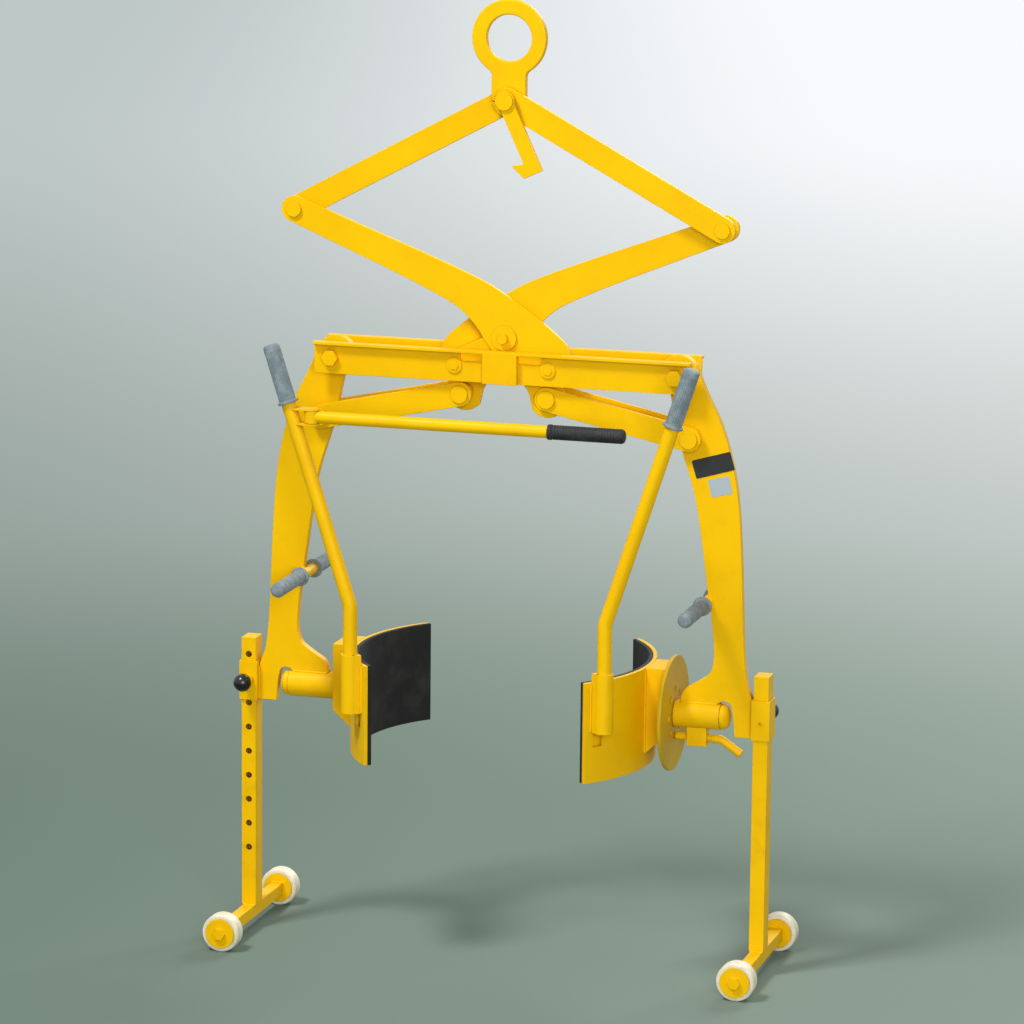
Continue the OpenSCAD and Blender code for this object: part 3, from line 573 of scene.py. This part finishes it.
edge_widths = {
    "lifting_eye": 4.5, "latch_hook": 1.5, "hanger_plate": 1.5, "index_disc": 2.0, "index_guide": 1.5,
    "beam_angle_front": 1.2, "beam_angle_rear": 1.2, "centre_pivot_bolt": 1.0, "eye_pin": 1.0,
    "tie_bolts": 0.8, "arm_pivot_bolts": 1.0, "arm_pivot_spacers": 0.6, "tilt_hinge": 0.6,
}
paired_widths = {
    "upper_link": 1.5, "outer_pin": 1.0, "scissor_arm": 1.5, "side_arm": 1.5, "bearing_housing": 1.8,
    "trunnion_bush": 0.5, "leg_sleeve": 1.0, "handlebar": 1.0, "lower_link": 1.2, "lower_link_pins": 1.0,
    "shoe_plate": 1.2, "shoe_pad": 1.0, "trunnion": 1.2, "trunnion_nut": 0.5, "leg": 1.6, "foot_bar": 1.5,
}
for part, width in paired_widths.items():
    for side in SIDES:
        edge_widths[part + "_" + side] = width
for node, width in edge_widths.items():
    rounded_node(node, width * MM, own_finishes.get(node))


# Grips
def ribbed_grip(name, length, radius, flange_r, ribs=24):
    """Rubber grip along +Z with a flange at its foot, lengthwise flutes and a rounded end."""
    profile = [(0, 0), (flange_r - 1 * MM, 0), (flange_r, 1 * MM), (flange_r, 3.8 * MM),
               (flange_r - 1 * MM, 4.8 * MM), (radius + 1.2 * MM, 5 * MM), (radius, 6.4 * MM),
               (radius, 12 * MM), (radius, length - 14 * MM),
               (radius, length - 6 * MM), (radius - 1.2 * MM, length - 2.6 * MM),
               (radius - 4 * MM, length - 0.6 * MM), (radius - 7 * MM, length), (0, length)]
    piece = lathe(name, profile, 2 * ribs)

    def flute(face):
        across = math.atan2(face.center.y, face.center.x) / (2 * math.pi) * 2 * ribs
        return abs(face.normal.z) < 0.1 and face.area > 100 * MM * MM and int(math.floor(across)) % 2 == 0

    select_faces(piece, flute)
    bpy.ops.mesh.inset(thickness=0.35 * MM, depth=-0.8 * MM, use_individual=True)
    end_edit()
    return soften(piece, 0.25 * MM, 1, 40)


for side in SIDES:
    node = "handlebar_grips_" + side
    lo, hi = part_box(node)
    bar = middle("handlebar_" + side)
    start = abs(lo.y) - BAR_GRIP_LEN
    front = ribbed_grip("bar_grip", hi.y - start, BAR_GRIP_R, BAR_FLANGE_R)
    settle(front, (bar.x, -start, bar.z), -REAR)
    rear = mirrored(front, "bar_grip_rear")
    dress(joined("bar_grips_" + side, front, rear), body_of[node], "grey_grip", instead_of=[node])

for side, sign in SIDES.items():
    node = "lever_grip_" + side
    start = Vector((sign * LEVER_TOP_X, LEVER_Y, AXIS_Z + LEVER_TOP_RISE))
    corner = Vector((sign * LEVER_X, LEVER_Y, AXIS_Z + LEVER_BEND_RISE))
    grip = ribbed_grip("lever_hand_grip_" + side, LEVER_GRIP_LEN, LEVER_GRIP_R, LEVER_FLANGE_R)
    settle(grip, start, start - corner)
    dress(grip, body_of[node], "grey_grip", instead_of=[node])


# Levers as smooth tubes in round sockets that are fitted to the shoes
def merge_solid(piece, other, operation):
    """Adds another solid to a piece or takes it away, and removes the other one."""
    step = piece.modifiers.new("merge", "BOOLEAN")
    step.operation = operation
    step.object = other
    step.solver = "EXACT"
    apply_all(piece)
    bpy.data.objects.remove(other)


def cylinder(name, at, radius, height, sides=64):
    """Upright cylinder about a point."""
    clear_selection()
    bpy.ops.mesh.primitive_cylinder_add(vertices=sides, radius=radius, depth=height, location=at)
    piece = named(name)
    bpy.ops.object.transform_apply(location=True, rotation=True, scale=True)
    return piece


for side, sign in SIDES.items():
    node = "lever_" + side
    foot = Vector((sign * LEVER_X, LEVER_Y, AXIS_Z))
    corner = foot + UP * LEVER_BEND_RISE
    start = Vector((sign * LEVER_TOP_X, LEVER_Y, AXIS_Z + LEVER_TOP_RISE))
    end = start + (start - corner).normalized() * LEVER_IN_GRIP
    tube = bent_tube("lever_tube_" + side, foot, corner, end, LEVER_D / 2, LEVER_BEND_R)
    soften(tube, 1.0 * MM)
    socket_z = AXIS_Z - SOCKET_DROP + SOCKET_H / 2
    around = math.atan2(LEVER_Y, sign * LEVER_X)
    reach = math.hypot(LEVER_X, LEVER_Y)
    out = Vector((math.cos(around), math.sin(around), 0))
    inner = SHOE_R - 6 * MM
    socket = cylinder("lever_socket_" + side, out * reach + UP * socket_z, SOCKET_R, SOCKET_H)
    foot_block = block("socket_foot", out * (inner + reach) / 2 + UP * socket_z,
                       (reach - inner, 2 * SOCKET_R - 1 * MM, SOCKET_H), around)
    merge_solid(socket, foot_block, "UNION")
    merge_solid(socket, cylinder("shoe_cutter", UP * AXIS_Z, SHOE_R, 1, 256), "DIFFERENCE")
    soften(socket, 1.2 * MM)
    dress(tube, body_of[node], "yellow_paint", instead_of=[node])
    dress(socket, body_of[node], "yellow_paint")


# Tilt bar: tube with an eye on the hinge pin
lo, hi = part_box("tilt_bar")
hinge = Vector((lo.x + TILT_EYE_R, middle("tilt_bar").y, middle("tilt_bar").z))
half = TILT_D / 2
profile = [(TILT_BORE_R, -half), (TILT_EYE_R - 1 * MM, -half), (TILT_EYE_R, 1 * MM - half),
           (TILT_EYE_R, half - 1 * MM), (TILT_EYE_R - 1 * MM, half), (TILT_BORE_R, half),
           (TILT_BORE_R, -half)]
eye = settle(lathe("tilt_eye", profile), hinge)
start = TILT_BORE_R + 2 * MM
length = hi.x - hinge.x - start
profile = [(0, 0), (half, 0), (half, length - 1 * MM), (half - 1 * MM, length), (0, length)]
tube = settle(lathe("tilt_tube", profile), hinge + RIGHT * start, RIGHT)
dress(joined("tilt_bar_tube", tube, eye), "tilt_bar", "yellow_paint", instead_of=["tilt_bar"])


# Tilt bar grip: black sleeve with fine rings and a collar at its inner end
lo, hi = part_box("tilt_bar_grip")
length = hi.x - lo.x
radius = (hi.z - lo.z) / 2
profile = [(0, 0), (radius - 0.4 * MM, 0), (radius, 0.8 * MM), (radius, 7 * MM), (radius - 1.6 * MM, 9 * MM)]
rings = 22
pitch = (length - 24 * MM) / rings
for ring in range(rings):
    z = 10 * MM + ring * pitch
    profile += [(radius - 1.4 * MM, z), (radius - 0.7 * MM, z + 0.2 * pitch),
                (radius - 0.7 * MM, z + 0.75 * pitch), (radius - 1.4 * MM, z + 0.95 * pitch)]
profile += [(radius - 0.8 * MM, length - 12 * MM), (radius - 0.8 * MM, length - 6 * MM),
            (radius - 3 * MM, length - 1.6 * MM), (radius - 6 * MM, length), (0, length)]
sleeve = lathe("tilt_hand_grip", profile)
settle(sleeve, (lo.x, middle("tilt_bar_grip").y, middle("tilt_bar_grip").z), RIGHT)
dress(sleeve, "tilt_bar", "black_grip", instead_of=["tilt_bar_grip"])


# Height plungers with ball knobs
def arc(centre, radius, start, end, steps):
    """Points of an arc in a profile, by angles in degrees from the radius direction."""
    angles = [math.radians(start + (end - start) * k / steps) for k in range(steps + 1)]
    return [(centre[0] + radius * math.cos(a), centre[1] + radius * math.sin(a)) for a in angles]


for side, sign in SIDES.items():
    node = "leg_plunger_" + side
    lo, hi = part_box(node)
    tip = min(abs(lo.y), abs(hi.y))
    end = max(abs(lo.y), abs(hi.y)) - tip
    knob_r = (hi.x - lo.x) / 2
    ball = (0, end - knob_r)
    neck = 7.5 * MM
    shoulder = ball[1] - 14 * MM
    profile = [(0, 0), (3.6 * MM, 0), (5 * MM, 1.4 * MM), (5 * MM, shoulder), (neck, shoulder),
               *arc(ball, knob_r, -49, 90, 20)]
    knob = lathe("height_plunger_" + side, profile)
    at = middle(node)
    settle(knob, (at.x, sign * tip, at.z), sign * REAR)
    dress(knob, body_of[node], "black_knob", instead_of=[node])


# Index plunger: turned pin with a collar and a bent pull handle
lo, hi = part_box("index_plunger")
guide_lo, guide_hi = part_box("index_guide")
pin_z = guide_lo.z + INDEX_PIN_RISE
collar = guide_hi.x + INDEX_COLLAR_GAP
reach = collar - lo.x
profile = [(0, 0), (INDEX_PIN_R - 2 * MM, 0), (INDEX_PIN_R, 3 * MM), (INDEX_PIN_R, reach),
           (INDEX_COLLAR_R, reach), (INDEX_COLLAR_R, reach + INDEX_COLLAR_T), (0, reach + INDEX_COLLAR_T)]
pin = settle(lathe("index_pin", profile), (lo.x, 0, pin_z), RIGHT)
elbow = Vector((guide_hi.x + INDEX_ELBOW, 0, pin_z))
handle_start = Vector((collar, 0, pin_z))
handle_end = elbow + Vector((42, 0, -28)) * MM
handle = bent_tube("index_handle", handle_start, elbow, handle_end, INDEX_HANDLE_R, INDEX_BEND_R, 24)
soften(handle, 4.0 * MM, 4)
pull = joined("index_plunger_pull", pin, handle)
dress(pull, "index_plunger", "yellow_paint", instead_of=["index_plunger"])


# Rollers: nylon wheels with rounded treads and a raised hub
for side in SIDES:
    for end in ("front", "rear"):
        node = "roller_" + side + "_" + end
        lo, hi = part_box(node)
        tread_r = (hi.z - lo.z) / 2
        half = (hi.y - lo.y) / 2
        round_r = 4 * MM
        bore = 8.05 * MM
        flank = half - 1.2 * MM
        edge = (tread_r - round_r, half - round_r)
        upper = [(bore, half), (bore + 5 * MM, half), (bore + 6 * MM, flank), (tread_r - 9 * MM, flank),
                 (tread_r - 8 * MM, half), *arc(edge, round_r, 90, 0, 6)]
        lower = [(r, -z) for r, z in reversed(upper)]
        wheel = lathe("nylon_" + node, [*upper, *lower, upper[0]], 64)
        settle(wheel, middle(node), REAR)
        dress(wheel, node, "nylon", instead_of=[node])


# Weld beads
def weld(name, points, radius=WELD_R):
    """Rippled bead along a line of points: one ripple repeated along a guide and bent to it."""
    pitch = 0.9 * radius
    clear_selection()
    bpy.ops.mesh.primitive_circle_add(vertices=10, radius=radius * 0.86, fill_type="NOTHING")
    ripple = named(name)
    start_edit(ripple, "EDGE")
    bpy.ops.mesh.select_all(action="SELECT")
    bpy.ops.mesh.extrude_edges_move(TRANSFORM_OT_translate={"value": (0, 0, pitch * 0.6)})
    bpy.ops.transform.resize(value=(1.16, 1.16, 1))
    bpy.ops.mesh.extrude_edges_move(TRANSFORM_OT_translate={"value": (0, 0, pitch * 0.4)})
    bpy.ops.transform.resize(value=(1 / 1.16, 1 / 1.16, 1))
    end_edit()
    settle(ripple, (0, 0, 0), RIGHT)
    guide_line = bpy.data.curves.new(name + "_guide", "CURVE")
    guide_line.dimensions = "3D"
    route = guide_line.splines.new("POLY")
    route.points.add(len(points) - 1)
    for point, at in zip(route.points, points):
        point.co = (*at, 1)
    guide = bpy.data.objects.new(name + "_guide", guide_line)
    bpy.context.scene.collection.objects.link(guide)
    row = ripple.modifiers.new("row", "ARRAY")
    row.fit_type = "FIT_CURVE"
    row.curve = guide
    row.use_merge_vertices = True
    row.merge_threshold = 0.02 * MM
    bend = ripple.modifiers.new("bend", "CURVE")
    bend.object = guide
    bend.deform_axis = "POS_X"
    apply_all(ripple)
    bpy.data.objects.remove(guide)
    start_edit(ripple)
    bpy.ops.mesh.select_all(action="SELECT")
    bpy.ops.mesh.fill_holes(sides=0)
    bpy.ops.mesh.normals_make_consistent(inside=False)
    end_edit()
    return ripple


def ring_points(centre, first, second, radius, start, end, steps=24):
    """Points of an arc about a centre in the plane of two directions, by angles in degrees."""
    angles = [math.radians(start + (end - start) * k / steps) for k in range(steps + 1)]
    return [centre + (first * math.cos(a) + second * math.sin(a)) * radius for a in angles]


# Painted strips behind the slots in the shoes
for side, sign in SIDES.items():
    pad_r = SHOE_R - SHOE_T
    strip = cylinder("slot_strip_" + side, UP * (AXIS_Z - STRIP_DROP), pad_r + STRIP_T, STRIP_H, 256)
    merge_solid(strip, cylinder("strip_core", UP * AXIS_Z, pad_r, 1, 256), "DIFFERENCE")
    aim = Vector((sign * math.cos(LEVER_AROUND), -math.sin(LEVER_AROUND), 0))
    window = block("strip_window", aim * pad_r + UP * AXIS_Z, (40 * MM, STRIP_W, 1),
                   math.atan2(aim.y, aim.x))
    merge_solid(strip, window, "INTERSECT")
    dress(strip, "shoe_" + side, "yellow_paint")


for side, sign in SIDES.items():
    beads = []
    out = sign * RIGHT
    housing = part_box("bearing_housing_" + side)
    house_in, house_out = sorted((housing[0].x, housing[1].x), key=abs)
    seam_z = AXIS_Z + math.sqrt(HOUSING_R ** 2 - PLATE_Y ** 2)
    sleeve_lo, sleeve_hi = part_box("leg_sleeve_" + side)
    sleeve_in = min((sleeve_lo.x, sleeve_hi.x), key=abs)
    bar = middle("handlebar_" + side)
    for face in (-PLATE_Y, PLATE_Y):
        beads.append(weld("seam", [Vector((house_in + sign * 14 * MM, face, seam_z)),
                                   Vector((house_out - sign * 8 * MM, face, seam_z))]))
        beads.append(weld("seam", [Vector((sleeve_in, face, sleeve_lo.z + 2 * MM)),
                                   Vector((sleeve_in, face, sleeve_hi.z - 12 * MM))]))
        beads.append(weld("seam", ring_points(Vector((bar.x, face, bar.z)), out, UP, 11 * MM, -75, 85)))
    dress(joined("arm_welds_" + side, *beads), "side_arm_" + side, "yellow_paint")

    beads = []
    bracket_x = math.sqrt(SHOE_R ** 2 - BRACKET_HALF ** 2)
    spread = math.degrees(math.asin(BRACKET_HALF / SHOE_R))
    bracket_top = high("shoe_plate_" + side).z - WELD_R
    bracket_low = AXIS_Z - BRACKET_FOOT
    for end in (-1, 1):
        beads.append(weld("seam", [Vector((sign * bracket_x, end * BRACKET_HALF, bracket_low)),
                                   Vector((sign * bracket_x, end * BRACKET_HALF, bracket_top))]))
    beads.append(weld("seam", ring_points(UP * bracket_low, out, REAR, SHOE_R, -spread, spread)))
    for end in (-1, 1):
        angle = -LEVER_AROUND + end * math.asin(SOCKET_R / SHOE_R)
        at = Vector((sign * math.cos(angle), math.sin(angle), 0)) * SHOE_R
        seam_foot = at + UP * (AXIS_Z - SOCKET_DROP + 2 * MM)
        beads.append(weld("seam", [seam_foot, at + UP * (AXIS_Z + SOCKET_WELD_TOP)]))
    dress(joined("shoe_welds_" + side, *beads), "shoe_" + side, "yellow_paint")

    beads = []
    leg_lo, leg_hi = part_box("leg_" + side)
    for face in (leg_lo.y, leg_hi.y):
        beads.append(weld("seam", [Vector((leg_lo.x + 3 * MM, face, leg_lo.z)),
                                   Vector((leg_hi.x - 3 * MM, face, leg_lo.z))], 2.6 * MM))
    dress(joined("foot_welds_" + side, *beads), "leg_" + side, "yellow_paint")


# Washers under the heads of the tie bolts
tie_x = (high("tie_bolts").x - low("tie_bolts").x) / 2 - TIE_HEAD_R
web_y = -low("beam_angle_front").y - FLANGE_OUT
washers = []
for x in (-tie_x, tie_x):
    for face in (-1, 1):
        profile = [(WASHER_BORE_R, -WASHER_SEAT), (WASHER_R, -WASHER_SEAT), (WASHER_R, WASHER_T - 0.8 * MM),
                   (WASHER_R - 0.8 * MM, WASHER_T), (WASHER_BORE_R, WASHER_T), (WASHER_BORE_R, -WASHER_SEAT)]
        washers.append(lathe("washer", profile))
        settle(washers[-1], (x, face * web_y, middle("tie_bolts").z), face * REAR)
dress(joined("tie_washers", *washers), "crossbeam", "yellow_paint")


# Set screw in the right leg sleeve
sleeve_lo, sleeve_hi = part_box("leg_sleeve_right")
profile = [(0, 0), (4.5 * MM, 0), (4.5 * MM, 3.4 * MM), (3.6 * MM, 4.2 * MM), (2.4 * MM, 4.2 * MM),
           (2.2 * MM, 1.6 * MM), (0, 1.6 * MM)]
screw = lathe("sleeve_set_screw", profile, 24)
settle(screw, (LEG_X, sleeve_lo.y + 1 * MM, middle("leg_sleeve_right").z - 4 * MM), -REAR)
dress(screw, "side_arm_right", "yellow_paint")


# Bare plates on the right side arm
def thin_plate(name, centre, size, lean, thick, finish):
    """Thin plate with round corners, flat on the front face of the side arm."""
    clear_selection()
    bpy.ops.mesh.primitive_plane_add(size=1, rotation=(math.radians(90), 0, 0))
    piece = named(name)
    piece.scale = (size[0], size[1], 1)
    bpy.ops.object.transform_apply(location=True, rotation=True, scale=True)
    start_edit(piece)
    bpy.ops.mesh.select_all(action="SELECT")
    bpy.ops.mesh.bevel(offset=3 * MM, segments=5, affect="VERTICES")
    bpy.ops.mesh.select_all(action="SELECT")
    bpy.ops.mesh.extrude_region_move(TRANSFORM_OT_translate={"value": (0, -thick, 0)})
    end_edit()
    close_up(piece)
    soften(piece, 0.2 * MM)
    piece.rotation_euler = (0, -math.radians(lean), 0)
    piece.location = (centre[0], -PLATE_Y, centre[1])
    only(piece)
    bpy.ops.object.transform_apply(location=True, rotation=True, scale=True)
    dress(piece, "side_arm_right", "steel", finish)


thin_plate("bare_dark_plate", (421 * MM, -810 * MM), (80 * MM, 37 * MM), 16.5, 0.8 * MM, dark_plate)
thin_plate("bare_pale_plate", (435.5 * MM, -851.5 * MM), (43 * MM, 35 * MM), 14, 0.5 * MM, pale_plate)


# View of the photograph: angles in degrees, distance and aim in metres
VIEW_AZIMUTH = 16.37
VIEW_ELEVATION = 11.57
VIEW_ROLL = 0.58
VIEW_DISTANCE = 9.513
VIEW_LENS = 170.25
VIEW_AIM_RIGHT = 0.0129
VIEW_AIM_Z = -0.9322
azimuth = math.radians(VIEW_AZIMUTH)
elevation = math.radians(VIEW_ELEVATION)
across = Vector((math.cos(azimuth), math.sin(azimuth), 0))
back = Vector((math.sin(azimuth) * math.cos(elevation), -math.cos(azimuth) * math.cos(elevation),
               math.sin(elevation)))

# Floor, lamps, background and camera
FLOOR_R = 60
LAMP_AIM = Vector((0, 0, -0.92))
floor_z = cad_box[0].z
clear_selection()
bpy.ops.mesh.primitive_circle_add(vertices=96, radius=FLOOR_R, fill_type="NGON", location=(0, 0, floor_z))
floor = named("studio_floor")
floor_sheet = Sheet("pale_floor", roughness=0.85, specular_ior_level=0.0, emission_strength=1.0)
floor_place = floor_sheet.place()
spread = floor_sheet.add("ShaderNodeVectorMath", {"operation": "LENGTH"}, {0: floor_place}, out="Value")
aside = floor_sheet.add("ShaderNodeVectorMath", {"operation": "DOT_PRODUCT"},
                        {0: floor_place, 1: across}, out="Value")
# Painted light: the backdrop glow is dimmer to the left and near the object, paler to the right and far away
to_right = aside.step(-2.4, 2.0)
away = spread.step(-2.0, 14.0)
dim_side = floor_sheet.mix(away, colour(112, 130, 119), colour(190, 200, 199))
lit_side = floor_sheet.mix(away, colour(152, 168, 158), PALE_AIR)
far = spread.step(0.8, 4.5) * floor_sheet.seen()
backdrop = floor_sheet.mix(far, BLACK, floor_sheet.mix(to_right, dim_side, lit_side))
# The near floor's colour is painted lighter to the right as painted light
floor_painted_light = floor_sheet.mix(to_right, colour(100, 118, 107), colour(134, 149, 139))
floor_paint = floor_sheet.mix(far, floor_painted_light, BLACK)
floor.data.materials.append(floor_sheet.set(base_color=floor_paint, emission_color=backdrop))


def softbox(name, at, size, power):
    """Square soft lamp that faces the object."""
    lamp = bpy.data.lights.new(name, "AREA")
    lamp.size = size
    lamp.energy = power
    box = bpy.data.objects.new(name, lamp)
    box.location = at
    box.rotation_euler = (LAMP_AIM - Vector(at)).to_track_quat("-Z", "Y").to_euler()
    bpy.context.scene.collection.objects.link(box)


softbox("key_softbox", (-2.2, -3.0, 4.6), 1.3, 310)
softbox("fill_softbox", (3.0, -7.0, 0.9), 3.0, 310)
softbox("back_softbox", (1.5, 5.2, 2.4), 3.0, 210)

world = bpy.data.worlds.new("studio_air")
air = Sheet("studio_air", world, strength=1.0)
air.set(color=air.mix(air.seen(), DIM_AIR, PALE_AIR))
bpy.context.scene.world = world

lens = bpy.data.cameras.new("photo_camera")
lens.sensor_width = 36
lens.lens = VIEW_LENS
camera = bpy.data.objects.new("photo_camera", lens)
camera.location = across * VIEW_AIM_RIGHT + UP * VIEW_AIM_Z + back * VIEW_DISTANCE
aim = (-back).to_track_quat("-Z", "Y").to_matrix()
camera.rotation_euler = (aim @ Matrix.Rotation(math.radians(VIEW_ROLL), 3, "Z")).to_euler()
bpy.context.scene.collection.objects.link(camera)
bpy.context.scene.camera = camera
bpy.context.scene.view_settings.view_transform = "Standard"
